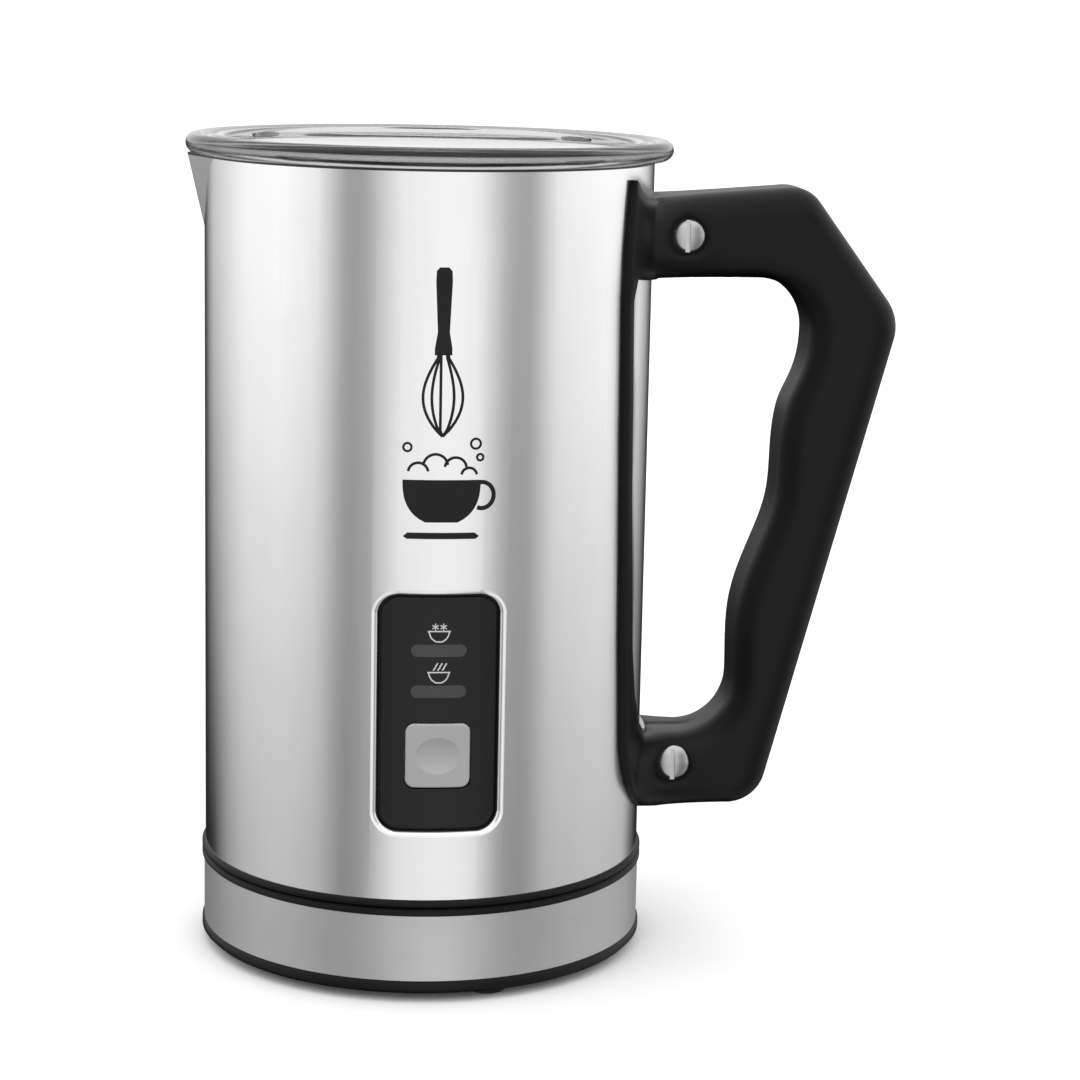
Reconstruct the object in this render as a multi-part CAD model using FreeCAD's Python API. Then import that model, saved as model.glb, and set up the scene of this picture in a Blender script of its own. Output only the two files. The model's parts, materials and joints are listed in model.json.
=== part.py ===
"""Electric milk frother: a steel jug with a clear lid on a cordless power base.

Millimetres.  +Z is up, the origin is on the jug's axis in the plane that the feet
stand on, -Y is the front with the control panel, +X points to the handle and -X to
the spout.  Every sub-part is one STEP file in parts/.
"""
import FreeCAD
import Part
import math
import os

os.makedirs("parts", exist_ok=True)
Vec = FreeCAD.Vector
UP = Vec(0, 0, 1)
BACK = Vec(0, 1, 0)
OUT = Vec(1, 0, 0)

# ---------------------------------------------------------------- driving dimensions
jug_r = 52.0                  # outside radius of the steel jug
sheet_t = 0.8                 # wall of the steel shell, the bowl and the base band
shell_h = 162.5               # height of the steel shell
lip_t = 0.6                   # rolled lip of the bowl on top of the shell
tight = 0.05                  # gap between pieces that are fixed together
slip = 0.3                    # gap between pieces that move past each other

foot_h = 2.0
foot_r = 4.5
foot_inset = 7.0              # foot centres inside the jug radius
foot_count = 3
foot_start = -74.0            # degrees; the first foot is just right of the front
base_ring_h = 3.0             # black ring below the band
band_h = 15.2
band_proud = 0.3              # band radius beyond the jug radius
ring_proud = 0.8              # black rings beyond the jug radius
top_rim_h = 1.7               # black ring on top of the base
jug_ring_h = 1.7              # black ring at the bottom of the jug
cover_t = 2.0                 # wall of the plastic covers

spout_reach = 4.0             # spout's tip beyond the jug radius
spout_half = 19.5             # degrees from the tip to each crease at the rim
spout_h = 17.3
spout_nose_r = 1.5

bowl_gap = 7.5                # from the jug radius to the outside of the bowl
bowl_floor_h = 60.1           # bowl underside above the shell's lower edge
bowl_corner_r = 8.0
collar_h = 20.4               # straight collar of the bowl inside the shell
shoulder_h = 8.0

panel_w = 26.6
panel_h = 53.9
panel_corner_r = 4.6
panel_up = 15.9               # panel's lower edge above the shell's lower edge
panel_edge_r = 1.3            # rolled-in edge of the shell round the panel
panel_recess = 1.3
panel_gap = 0.5               # visible groove between the shell and the fascia
fascia_edge_r = 0.4
fascia_t = 1.6
flange_w = 3.0                # fascia flange behind the shell, beyond the window
gasket_t = 0.4
button_w = 14.4
button_h = 14.7
button_up = 17.3              # button's centre above the panel's lower edge
button_proud = 0.3
button_travel = 0.8
dimple_w = 9.9
dimple_h = 8.4
dimple_deep = 0.9
light_w = 12.4
light_h = 2.85
light_up = (32.0, 41.3)       # light bars above the panel's lower edge: hot, cold
board_t = 1.6
board_gap = 5.2               # from the fascia's back to the control board
switch_w = 6.0
switch_h = 2.4
led_w = 3.2
led_h = 1.4

lid_bead_r = 2.3              # section radius of the lid's rounded edge
lid_overhang = 4.3            # lid edge beyond the jug radius
lid_t = 2.0
lid_ring_inset = 3.0          # raised ring on the lid, inside the jug radius
lid_ring_h = 1.6
ridge_r = 1.5
lid_skirt_h = 6.4
lid_skirt_t = 2.3
seal_flange_t = 0.6
lug_len = 7.0                 # four small raised ribs inside the ring
lug_w = 3.0
lug_h = 0.8
lug_inset = 4.0
lid_seal_h = 5.5

arm_screw_out = 7.0           # handle screws beyond the jug radius
arm_screw_up = 20.1           # lower screw above the shell's lower edge
arm_screw_down = 16.4         # upper screw below the shell's upper edge
screw_head_r = 4.5
screw_head_h = 1.5
screw_sink_r = 4.7            # round sink in the handle for each head
screw_seat = 11.4             # half distance between the two head seats
grip_w = 23.0
grip_lean = 15.6              # the finger side's top beyond its foot
grip_edge_r = 6.2
saddle_half = 31.6            # half width of the handle where it hugs the jug
strap_t = 1.45
saddle_depth = 14.0           # how far the arms reach round the jug
heel_up = 9.0                 # underside of the lower arm above the shell's lower edge
arm_top_down = 8.9            # top of the upper arm below the shell's upper edge
opening_up = 26.9             # finger opening above the shell's lower edge
opening_down = 26.4           # and below its upper edge
bracket_t = 3.0               # steel tongues inside the handle
bracket_h = 12.0
bracket_foot = 16.0
bolt_r = 2.6                  # bore for the two-part handle screws
bolt_core_r = 2.0
slot_w = 1.1
slot_deep = 1.0

motor_r = 13.75
motor_h = 28.0
shaft_r = 1.15
post_inset = 10.0             # posts of the motor bracket, inside the jug radius
post_r = 3.5
post_turn = 90.0
bracket_plate_t = 3.0
motor_screw_ring = 8.0
motor_screw_r = 1.2
rotor_r = 16.0
rotor_h = 6.0
rotor_gap = 1.0               # rotor to the bowl's underside
magnet_r = 4.0
magnet_h = 3.0
magnet_ring_r = 9.0
heater_t = 2.0
heater_in_r = 20.0
heater_tube_r = 2.75

hub_r = 15.5                  # centre boss of the base connector
hub_h = 9.1
pin_r = 2.2
pin_sleeve_r = 3.15
contact_r = 9.8
housing_gap = 1.0             # from the boss to the housing that covers it

power_board_up = 6.5          # board above the bottom of the jug
board_boss_in = 11.0          # board bosses inside the ring of posts
board_boss_turn = 30.0
board_screw_r = 1.0

screw_r = 1.4                 # screws of the base and of the jug's bottom
screw_hole_r = 1.5
screw_cap_r = 2.7
screw_sink_in_r = 3.0
screw_inset = 12.0            # base screws inside the jug radius
driver_slot = 0.6
inlet_r = 4.2                 # grommet at the back of the base
inlet_up = 7.0                # its centre above the band's lower edge
cord_hole_r = 2.9

whisk_r = 14.9
whisk_t = 4.0
coil_r = 2.5
spindle_r = 1.5
spindle_h = 12.0
bush_r = 3.0

# ---------------------------------------------------------------- levels that follow
base_z = foot_h
foot_ring_r = jug_r - foot_inset
screw_ring_r = jug_r - screw_inset
post_ring_r = jug_r - post_inset
spout_r = jug_r + spout_reach
bowl_r = jug_r - bowl_gap
lid_r = jug_r + lid_overhang
lid_ring_r = jug_r - lid_ring_inset
arm_screw_x = jug_r + arm_screw_out
arm_screw_z = (arm_screw_up, shell_h - arm_screw_down)
opening_top = shell_h - opening_down
band_z = base_z + base_ring_h
top_rim_z = band_z + band_h
base_top_z = top_rim_z + top_rim_h
jug_z = base_top_z + slip
shell_z = jug_z + jug_ring_h
shell_top = shell_z + shell_h
rim_z = shell_top + lip_t
bowl_z = shell_z + bowl_floor_h
band_r = jug_r + band_proud
ring_r = jug_r + ring_proud
shell_in = jug_r - sheet_t
panel_z = shell_z + panel_up
panel_mid = panel_z + panel_h / 2
button_z = panel_z + button_up
bowl_in = bowl_r - sheet_t
collar_r = shell_in - tight
collar_in = collar_r - sheet_t
inlet_z = band_z + inlet_up
beyond = 2 * jug_r            # how far cutting tools reach
front_span = (-jug_r - 8, -jug_r / 2)


# ---------------------------------------------------------------- helpers
def save(name, *solids):
    """One node: a solid, or a group of separate solids."""
    shape = solids[0] if len(solids) == 1 else Part.makeCompound(list(solids))
    shape.exportStep("parts/" + name + ".step")


def at(r, angle, z=0.0):
    a = math.radians(angle)
    return Vec(r * math.cos(a), r * math.sin(a), z)


def rod(r, z0, z1, x=0.0, y=0.0):
    return Part.makeCylinder(r, z1 - z0, Vec(x, y, z0))


def tube(r_out, r_in, z0, z1):
    return rod(r_out, z0, z1).cut(rod(r_in, z0 - 1, z1 + 1))


def rod_y(r, y0, y1, x, z):
    return Part.makeCylinder(r, y1 - y0, Vec(x, y0, z), BACK)


def box(x0, x1, y0, y1, z0, z1):
    return Part.makeBox(x1 - x0, y1 - y0, z1 - z0, Vec(x0, y0, z0))


def driver_groove(x, z0, z1):
    return box(x - 2, x + 2, -driver_slot / 2, driver_slot / 2, z0, z1)


def fuse(first, *others):
    return first.fuse(list(others)).removeSplitter()


def ring_of(solid, count, start=0.0):
    """Copies of a solid that is built on the +X side, turned about the axis."""
    made = []
    for i in range(count):
        piece = solid.copy()
        piece.rotate(Vec(), UP, start + 360.0 * i / count)
        made.append(piece)
    return made


def revolved(points):
    """Solid of revolution from (r, z) corners."""
    wire = Part.makePolygon([Vec(r, 0, z) for r, z in points + points[:1]])
    return Part.Face(wire).revolve(Vec(), UP, 360)


def half_chord(radius, offset):
    return math.sqrt(radius ** 2 - offset ** 2)


def rounded_plate(w, h, r, y0, y1, z_mid, x_mid=0.0):
    """Rounded rectangle in the XZ plane, between y0 and y1."""
    plate = box(x_mid - w / 2, x_mid + w / 2, y0, y1, z_mid - h / 2, z_mid + h / 2)
    edges = [e for e in plate.Edges if abs(e.tangentAt(e.FirstParameter).y) > 0.9]
    return plate.makeFillet(r, edges)


def front_skin(r_out, r_in, w, h, corner, z_mid):
    """Curved plate at the front of the jug, w wide and h high."""
    block = rounded_plate(w, h, corner, *front_span, z_mid)
    return tube(r_out, r_in, z_mid - h, z_mid + h).common(block)


def corner_arc(before, corner, after, radius):
    """Ends and middle of the arc that rounds a corner of an XZ outline."""
    a = (before - corner).normalize()
    b = (after - corner).normalize()
    half = a.getAngle(b) / 2
    run = radius / math.tan(half)
    to_mid = (a + b).normalize() * (radius / math.sin(half) - radius)
    return corner + a * run, corner + to_mid, corner + b * run


def smooth_curve(points, start, end):
    """Curve through the points that leaves along start and arrives along end."""
    lengths = [0.0]
    for a, b in zip(points, points[1:]):
        lengths.append(lengths[-1] + a.distanceToPoint(b))
    curve = Part.BSplineCurve()
    curve.interpolate(Points=points, Parameters=lengths, InitialTangent=start.normalize(),
                      FinalTangent=end.normalize())
    return curve.toShape()


# ---------------------------------------------------------------- spout
def spout_wedge(inset):
    """Pointed spout with its faces moved inwards by inset, reaching above the rim."""
    base = jug_r * math.cos(math.radians(spout_half))
    half_w = jug_r * math.sin(math.radians(spout_half))
    rise = 4.0
    grow = 1 + rise / spout_h
    foot = Vec(-jug_r, 0, 0)
    tip = foot + Vec(jug_r - spout_r, 0, spout_h) * grow
    left = foot + Vec(jug_r - base, half_w, spout_h) * grow
    right = foot + Vec(jug_r - base, -half_w, spout_h) * grow
    inner = foot + Vec(jug_r * 0.3, 0, spout_h) * grow
    top = Part.makePolygon([tip, left, inner, right, tip])
    wedge = Part.makeLoft([Part.Vertex(foot), top], True, True)
    side = (tip - foot).cross(left - foot)
    shift = inset * side.Length / abs(side.x)
    nose = [e for e in wedge.Edges if abs(e.CenterOfMass.y) < 1e-6
            and e.CenterOfMass.x < -jug_r - 0.1]
    wedge = wedge.makeFillet(max(spout_nose_r - inset, 0.3), nose)
    wedge.translate(Vec(shift, 0, rim_z - spout_h))
    return wedge


def jug_column(r, z0, z1, inset):
    """Cylinder with the spout, moved inwards by inset, cut off at z1."""
    slab = rod(spout_r + 5, z0, z1)
    return rod(r, z0, z1).fuse(spout_wedge(inset).common(slab)).removeSplitter()


# ---------------------------------------------------------------- power base
def make_base():
    spigot_r = band_r - sheet_t - tight
    spigot_in = spigot_r - cover_t
    spigot_h = 4.0
    save("base_band", tube(band_r, band_r - sheet_t, band_z, top_rim_z).cut(
        rod_y(inlet_r + tight, 0, beyond, 0, inlet_z)))

    screw_turn = foot_start + 180.0 / foot_count
    sink_h = 1.2
    screw_len = 14.0
    floor = revolved([(0, base_z), (ring_r - 1, base_z), (ring_r, base_z + 1),
                      (ring_r, band_z - 0.6), (ring_r - 0.6, band_z), (spigot_r, band_z),
                      (spigot_r, band_z + spigot_h), (spigot_in, band_z + spigot_h),
                      (spigot_in, base_z + cover_t), (0, base_z + cover_t)])
    sink = rod(screw_sink_in_r, base_z - 1, base_z + sink_h, screw_ring_r)
    hole = rod(screw_hole_r, base_z, band_z, screw_ring_r)
    floor = floor.cut(ring_of(sink.fuse(hole), foot_count, screw_turn))
    floor = floor.cut(rod_y(inlet_r + tight, foot_ring_r, beyond, 0, inlet_z))
    save("base_bottom_cover", floor)

    post = rod(post_r - 0.3, base_z + cover_t, top_rim_z, screw_ring_r)
    post = post.cut(rod(screw_r + tight, base_z, base_z + screw_len, screw_ring_r))
    top = revolved([(hub_r + slip, top_rim_z - 0.2), (spigot_in, top_rim_z - 0.2),
                    (spigot_in, top_rim_z - spigot_h), (spigot_r, top_rim_z - spigot_h),
                    (spigot_r, top_rim_z), (ring_r - 0.5, top_rim_z),
                    (ring_r, top_rim_z + 0.5), (ring_r, base_top_z - 0.5),
                    (ring_r - 0.5, base_top_z), (hub_r + slip, base_top_z)])
    save("base_top_cover", top.fuse(ring_of(post, foot_count, screw_turn)).removeSplitter())

    head = rod(screw_cap_r, base_z + 0.1, base_z + sink_h, screw_ring_r)
    slot = driver_groove(screw_ring_r, base_z, base_z + 0.6)
    shank = rod(screw_r, base_z + sink_h, base_z + screw_len - 1, screw_ring_r)
    screw = fuse(head.cut(slot), shank)
    save("base_screws", *ring_of(screw, foot_count, screw_turn))

    pad = rod(foot_r, 0, foot_h, foot_ring_r)
    pad = pad.makeFillet(0.6, [e for e in pad.Edges if e.CenterOfMass.z < 0.1])
    save("base_feet", *ring_of(pad, foot_count, foot_start))


def make_inlet():
    """Grommet at the back that the mains lead goes through."""
    inside = band_r - sheet_t
    first = inside - cover_t - 1.5
    last = band_r + 2.0
    body = rod_y(inlet_r, first, last, 0, inlet_z)
    inner_collar = rod_y(inlet_r + 1.3, first, inside - cover_t - 0.4, 0, inlet_z)
    outer_collar = rod_y(inlet_r + 1.0, band_r + 0.25, last, 0, inlet_z)
    bore = rod_y(cord_hole_r, 0, beyond, 0, inlet_z)
    save("cord_inlet", fuse(body, inner_collar, outer_collar).cut(bore))


hub_top = base_top_z + hub_h
groove_out = contact_r + 1.7
groove_in = contact_r - 1.3
groove_deep = 8.0


def make_connectors():
    low = band_z + 6.0
    flange_z = top_rim_z - 0.2
    boss = fuse(rod(hub_r, low, hub_top), rod(hub_r + 5, flange_z - 2, flange_z))
    boss = boss.cut(rod(pin_sleeve_r + tight, low + 2, hub_top + 1))
    boss = boss.cut(tube(groove_out, groove_in, hub_top - groove_deep, hub_top + 1))
    lead_in = [e for e in boss.Edges if abs(e.CenterOfMass.z - hub_top) < 0.01]
    boss = boss.makeChamfer(0.4, lead_in)
    save("base_connector", boss)
    sleeve = tube(pin_sleeve_r, pin_r + 0.4, low + 2, hub_top - 1.2)
    band = tube(groove_out - tight, groove_out - 0.6, hub_top - groove_deep, hub_top - 1.2)
    save("base_contacts", sleeve, band)

    carrier_z = hub_top + 0.4
    carrier_t = 1.5
    carrier = rod(groove_out + 1, carrier_z, carrier_z + carrier_t)
    pin = rod(pin_r, low + 6, carrier_z)
    pin = pin.makeFillet(1.5, [e for e in pin.Edges if e.CenterOfMass.z < low + 6.1])
    ring = tube(contact_r + 0.6, contact_r - 0.5, hub_top - 6, carrier_z)
    save("coupler_carrier", carrier)
    save("coupler_contacts", pin, ring)

    roof_z = carrier_z + carrier_t + slip
    inner_r = hub_r + housing_gap
    outer_r = inner_r + cover_t
    flange_r = outer_r + 5.5
    flange_low = jug_z + cover_t
    housing = revolved([(inner_r, jug_z + 0.2), (outer_r, jug_z + 0.2), (outer_r, flange_low),
                        (flange_r, flange_low), (flange_r, flange_low + cover_t),
                        (outer_r, flange_low + cover_t), (outer_r, roof_z + cover_t),
                        (0, roof_z + cover_t), (0, roof_z), (inner_r, roof_z)])
    save("coupler_housing", housing)
    return outer_r, roof_z + cover_t


housing_r, housing_top = make_connectors()
make_base()
make_inlet()

# ---------------------------------------------------------------- jug bottom
motor_z = housing_top + 2.5
motor_top = motor_z + motor_h
rotor_top = bowl_z - rotor_gap
board_ring_r = post_ring_r - board_boss_in
power_board_z = jug_z + power_board_up
bracket_top = motor_top + bracket_plate_t
post_bore = rod(screw_r + tight, jug_z, jug_z + 13, post_ring_r)


def make_jug_bottom():
    spigot_r = shell_in - tight
    disc = revolved([(housing_r + slip, jug_z), (ring_r - 0.5, jug_z),
                     (ring_r, jug_z + 0.5), (ring_r, shell_z - 0.5),
                     (ring_r - 0.5, shell_z), (spigot_r, shell_z),
                     (spigot_r, shell_z + 5), (spigot_r - cover_t, shell_z + 5),
                     (spigot_r - cover_t, jug_z + cover_t),
                     (housing_r + slip, jug_z + cover_t)])
    boss = rod(3.0, jug_z + cover_t, power_board_z, board_ring_r)
    bore = rod(board_screw_r + tight, jug_z + cover_t + 1, power_board_z + 1, board_ring_r)
    boss = boss.cut(bore)
    disc = disc.fuse(ring_of(boss, 3, board_boss_turn)).removeSplitter()
    sink = rod(screw_sink_in_r, jug_z - 1, jug_z + 1, post_ring_r)
    sink = sink.fuse(rod(screw_hole_r, jug_z, shell_z + 5, post_ring_r))
    save("jug_base_cover", disc.cut(ring_of(sink, 3, post_turn)))
    screw = fuse(rod(screw_cap_r, jug_z + 0.1, jug_z + 1, post_ring_r),
                 rod(screw_r, jug_z + 1, jug_z + 12, post_ring_r))
    slot = driver_groove(post_ring_r, jug_z, jug_z + 0.5)
    save("jug_base_screws", *ring_of(screw.cut(slot), 3, post_turn))


def make_drive():
    """Motor on its three-legged bracket, and the magnetic rotor below the bowl."""
    seat = motor_top
    post = rod(post_r, jug_z + cover_t, bracket_top, post_ring_r)
    arm = box(motor_r, post_ring_r, -post_r, post_r, seat, bracket_top)
    web = box(motor_r + 3, post_ring_r, -1.0, 1.0, seat - 4, seat)
    legs = ring_of(fuse(arm, web, rod(post_r, seat - 4, bracket_top, post_ring_r)),
                   3, post_turn)
    bracket = rod(motor_r + 4, seat, bracket_top).fuse(legs + ring_of(post, 3, post_turn))
    bracket = bracket.cut(rod(4.2, seat - 1, bracket_top + 1))
    screw_bore = rod(motor_screw_r + 0.2, seat - 1, bracket_top + 1, motor_screw_ring)
    bracket = bracket.cut(ring_of(screw_bore, 2))
    bracket = bracket.cut(ring_of(post_bore, 3, post_turn))
    save("motor_bracket", bracket.removeSplitter())

    can = rod(motor_r, motor_z, motor_top)
    can = can.makeFillet(1.5, [can.Edges[0], can.Edges[2]])
    collar = rod(4.0, motor_top, motor_top + 1.5)
    tail = rod(4.5, motor_z - 1.5, motor_z)
    bore = rod(shaft_r + tight, motor_top - 8, motor_top + 3)
    holes = ring_of(rod(motor_screw_r + tight, seat - 3, seat + 1, motor_screw_ring), 2)
    save("motor", fuse(can, collar, tail).cut(bore).cut(holes))
    head = rod(2.2, bracket_top, bracket_top + 1.3, motor_screw_ring)
    screw = fuse(head, rod(motor_screw_r, seat - 2.5, bracket_top, motor_screw_ring))
    slot = driver_groove(motor_screw_ring, bracket_top + 0.7, bracket_top + 2)
    save("motor_screws", *ring_of(screw.cut(slot), 2))

    shaft_top = rotor_top - 1.0
    save("motor_shaft", rod(shaft_r, motor_top - 7.5, shaft_top))
    pocket = rod(magnet_r, rotor_top - magnet_h, rotor_top + 1, magnet_ring_r)
    holder = fuse(rod(rotor_r, rotor_top - rotor_h + 1.5, rotor_top),
                  rod(3.5, rotor_top - rotor_h - 1, rotor_top))
    holder = holder.cut(ring_of(pocket, 2))
    save("magnet_holder", holder.cut(rod(shaft_r + 0.02, 0, shaft_top)))
    magnet = rod(magnet_r - 0.02, rotor_top - magnet_h, rotor_top - 0.2, magnet_ring_r)
    save("drive_magnets", *ring_of(magnet, 2))


def make_heater():
    flat_r = bowl_r - bowl_corner_r
    under = bowl_z - heater_t
    save("heater_plate", tube(flat_r, heater_in_r, under, bowl_z))
    tube_ring = flat_r - heater_tube_r - 1.2
    mid = under - heater_tube_r + 0.6
    centre = Vec(tube_ring, 0, mid)
    half = half_chord(heater_tube_r, under - mid)
    arc = Part.Arc(Vec(tube_ring - half, 0, under), centre - UP * heater_tube_r,
                   Vec(tube_ring + half, 0, under)).toShape()
    flat = Part.makeLine(Vec(tube_ring + half, 0, under), Vec(tube_ring - half, 0, under))
    section = Part.Face(Part.Wire([arc, flat]))
    sweep = 310.0
    loop = section.revolve(Vec(), UP, sweep)
    loop.rotate(Vec(), UP, -90 + (360 - sweep) / 2)
    save("heating_tube", loop)
    ring = (flat_r - 2 * heater_tube_r - 1.5 + heater_in_r) / 2
    spot = at(ring, 60)
    save("thermostat", fuse(rod(4.2, under - 4.5, under, spot.x, spot.y),
                            box(spot.x - 3, spot.x + 3, spot.y - 0.4, spot.y + 0.4,
                                under - 9, under - 4.5)))
    spot = at(ring, 180)
    save("temperature_sensor", fuse(rod(2.0, under - 6, under, spot.x, spot.y),
                                    rod(0.8, under - 11, under - 6, spot.x, spot.y)))
    spot = at(ring, -90)
    fuse_body = Part.makeCylinder(1.6, 11, Vec(spot.x - 5.5, spot.y, under - 1.7), OUT)
    save("thermal_fuse", fuse_body)


def make_power_board():
    top = power_board_z + board_t
    board = tube(post_ring_r - post_r - 1.0, housing_r + 1.0, power_board_z, top)
    hole = rod(board_screw_r + 0.2, power_board_z - 1, top + 1, board_ring_r)
    board = board.cut(ring_of(hole, 3, board_boss_turn))
    save("power_board", board)
    head = rod(2.0, top, top + 1.2, board_ring_r)
    shank = rod(board_screw_r, power_board_z - 3, top, board_ring_r)
    save("board_screws", *ring_of(head.fuse(shank).removeSplitter(), 3, board_boss_turn))
    relay = box(board_ring_r - 8.5, board_ring_r + 3.5, -8, 8, top, top + 15)
    relay.rotate(Vec(), UP, -board_boss_turn)
    save("board_relay", relay)
    spot = at(board_ring_r - 2, 112)
    save("board_capacitor", rod(5.0, top, top + 16, spot.x, spot.y))
    block = box(board_ring_r - 7.5, board_ring_r + 1.5, -7.5, 7.5, top, top + 10)
    block.rotate(Vec(), UP, 180)
    save("board_terminals", block)


# ---------------------------------------------------------------- shell and bowl
def make_shell():
    outside = jug_column(jug_r, shell_z, shell_top, 0.0)
    inside = jug_column(shell_in, shell_z - 1, shell_top + 1, sheet_t)
    shell = outside.cut(inside)
    edge_w = panel_w + 2 * (panel_edge_r + 1.5)
    edge_h = panel_h + 2 * (panel_edge_r + 1.5)
    lip = front_skin(jug_r, shell_in - 1.0, edge_w, edge_h, panel_corner_r + 2.8, panel_mid)
    window = rounded_plate(panel_w, panel_h, panel_corner_r, *front_span, panel_mid)
    back = rounded_plate(panel_w + 2 * sheet_t, panel_h + 2 * sheet_t,
                         panel_corner_r + sheet_t, *front_span, panel_mid)
    frame = lip.cut(window)
    thin = tube(shell_in, shell_in - 5, panel_z - 9, panel_z + panel_h + 9)
    frame = frame.cut(thin.cut(back))
    rolled = []
    for e in frame.Edges:
        c = e.CenterOfMass
        inside_w = abs(c.x) <= panel_w / 2 + 0.01
        inside_h = abs(c.z - panel_mid) <= panel_h / 2 + 0.01
        on_skin = all(abs(math.hypot(v.X, v.Y) - jug_r) < 0.01 for v in e.Vertexes)
        if inside_w and inside_h and on_skin:
            rolled.append(e)
    frame = frame.makeFillet(panel_edge_r, rolled)
    opening = rounded_plate(edge_w, edge_h, panel_corner_r + 2.8, *front_span, panel_mid)
    shell = shell.cut(opening).fuse(frame).removeSplitter()
    save("outer_shell", shell)


def bowl_body(r, top_r, floor, corner, lift):
    """Solid of the bowl's form; lift moves the shoulder up for the inside."""
    top = rim_z + 5
    collar_z = rim_z - collar_h + lift
    waist_z = collar_z - shoulder_h
    body = rod(r, floor, waist_z)
    body = body.makeFillet(corner, [e for e in body.Edges if e.CenterOfMass.z < floor + 0.1])
    cone = revolved([(0, waist_z), (r, waist_z), (top_r, collar_z), (top_r, top), (0, top)])
    return body.fuse(cone).removeSplitter()


def make_bowl():
    outside = bowl_body(bowl_r, collar_r, bowl_z, bowl_corner_r, 0.0)
    outside = outside.fuse(spout_wedge(sheet_t + tight).common(rod(beyond, 0, rim_z)))
    outside = outside.common(rod(beyond, 0, shell_top))
    lip = jug_column(jug_r, shell_top, rim_z, 0.0)
    wall = sheet_t
    inside = bowl_body(bowl_in, collar_in, bowl_z + wall, bowl_corner_r - wall, 0.35)
    inside = inside.fuse(spout_wedge(2 * sheet_t + tight))
    bowl = outside.fuse(lip).cut(inside).removeSplitter()
    save("inner_bowl", bowl)
    floor = bowl_z + wall
    foot = revolved([(0, floor), (5, floor), (4, floor + 0.6), (spindle_r, floor + 0.6),
                     (spindle_r, floor + spindle_h - 0.5),
                     (spindle_r - 0.5, floor + spindle_h), (0, floor + spindle_h)])
    save("whisk_spindle", foot)


def make_whisk():
    low = bowl_z + sheet_t + 0.8
    top = low + 9.5
    bush = revolved([(spindle_r + tight, low), (bush_r, low), (bush_r, top),
                     (spindle_r + tight, top)])
    save("whisk_bush", bush)
    disc_z = low + 0.4
    disc = rod(whisk_r, disc_z, disc_z + whisk_t)
    disc = disc.makeFillet(1.0, [disc.Edges[0], disc.Edges[2]])
    knob = revolved([(bush_r, disc_z), (8, disc_z + whisk_t - 0.5), (5.5, disc_z + whisk_t + 1.5),
                     (4.6, top - 0.5), (4.2, top), (bush_r, top)])
    pocket = rod(magnet_r, disc_z + 0.5, disc_z + 0.5 + magnet_h, magnet_ring_r)
    hub = disc.fuse(knob).cut(rod(bush_r + tight, bowl_z, top + 1)).cut(ring_of(pocket, 2))
    save("whisk_hub", hub.removeSplitter())
    magnet = rod(magnet_r - 0.02, disc_z + 0.6, disc_z + 0.4 + magnet_h, magnet_ring_r)
    save("whisk_magnets", *ring_of(magnet, 2))
    coil = Part.makeTorus(whisk_r + coil_r + 0.05, coil_r, Vec(0, 0, disc_z + whisk_t / 2))
    save("whisk_coil", coil)


# ---------------------------------------------------------------- lid
def make_lid():
    seat = rim_z + tight
    bead_c = lid_r - lid_bead_r
    bead_z = seat + lid_bead_r
    plate_z = seat + seal_flange_t + tight
    skirt_r = collar_in - 2.5
    top_z = plate_z + lid_t
    low_z = seat - lid_skirt_h
    corners = [(0, plate_z), (skirt_r - lid_skirt_t, plate_z), (skirt_r - lid_skirt_t, low_z),
               (skirt_r, low_z), (skirt_r, plate_z),
               (bead_c - half_chord(lid_bead_r, bead_z - plate_z), plate_z)]
    inner_bead = bead_c - half_chord(lid_bead_r, bead_z - top_z)
    ridge_z = top_z + lid_ring_h - ridge_r
    ridge_half = half_chord(ridge_r, ridge_z - top_z)
    bead = Part.Arc(Vec(corners[-1][0], 0, plate_z), Vec(lid_r, 0, bead_z),
                    Vec(inner_bead, 0, top_z)).toShape()
    ridge = Part.Arc(Vec(lid_ring_r + ridge_half, 0, top_z),
                     Vec(lid_ring_r, 0, ridge_z + ridge_r),
                     Vec(lid_ring_r - ridge_half, 0, top_z)).toShape()
    edges = [Part.makeLine(Vec(a[0], 0, a[1]), Vec(b[0], 0, b[1]))
             for a, b in zip(corners, corners[1:])]
    edges += [bead, Part.makeLine(Vec(inner_bead, 0, top_z), ridge.Vertexes[0].Point), ridge,
              Part.makeLine(ridge.Vertexes[1].Point, Vec(0, 0, top_z)),
              Part.makeLine(Vec(0, 0, top_z), Vec(0, 0, plate_z))]
    body = Part.Face(Part.Wire(edges)).revolve(Vec(), UP, 360)
    half_w = lug_w / 2
    half_len = lug_len / 2 - half_w
    low, high = top_z - 0.5, top_z + lug_h
    lug_r = lid_ring_r - lug_inset
    lug = fuse(box(lug_r - half_w, lug_r + half_w, -half_len, half_len, low, high),
               rod(half_w, low, high, lug_r, half_len), rod(half_w, low, high, lug_r, -half_len))
    lid = body.fuse(ring_of(lug, 4, 45)).removeSplitter()
    save("lid_disc", lid)
    in_r = skirt_r + 0.02
    lip_r = collar_in - slip
    web_r = in_r + 1.0
    seal = revolved([(in_r, seat - lid_seal_h), (lip_r, seat - 5.0), (lip_r, seat - 4.6),
                     (web_r, seat - 4.3), (web_r, seat - 3.2), (lip_r, seat - 2.7),
                     (lip_r, seat - 2.3), (web_r, seat - 2.0), (web_r, seat),
                     (jug_r - 0.2, seat), (jug_r - 0.2, seat + seal_flange_t),
                     (in_r, seat + seal_flange_t)])
    save("lid_seal", seal)


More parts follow.
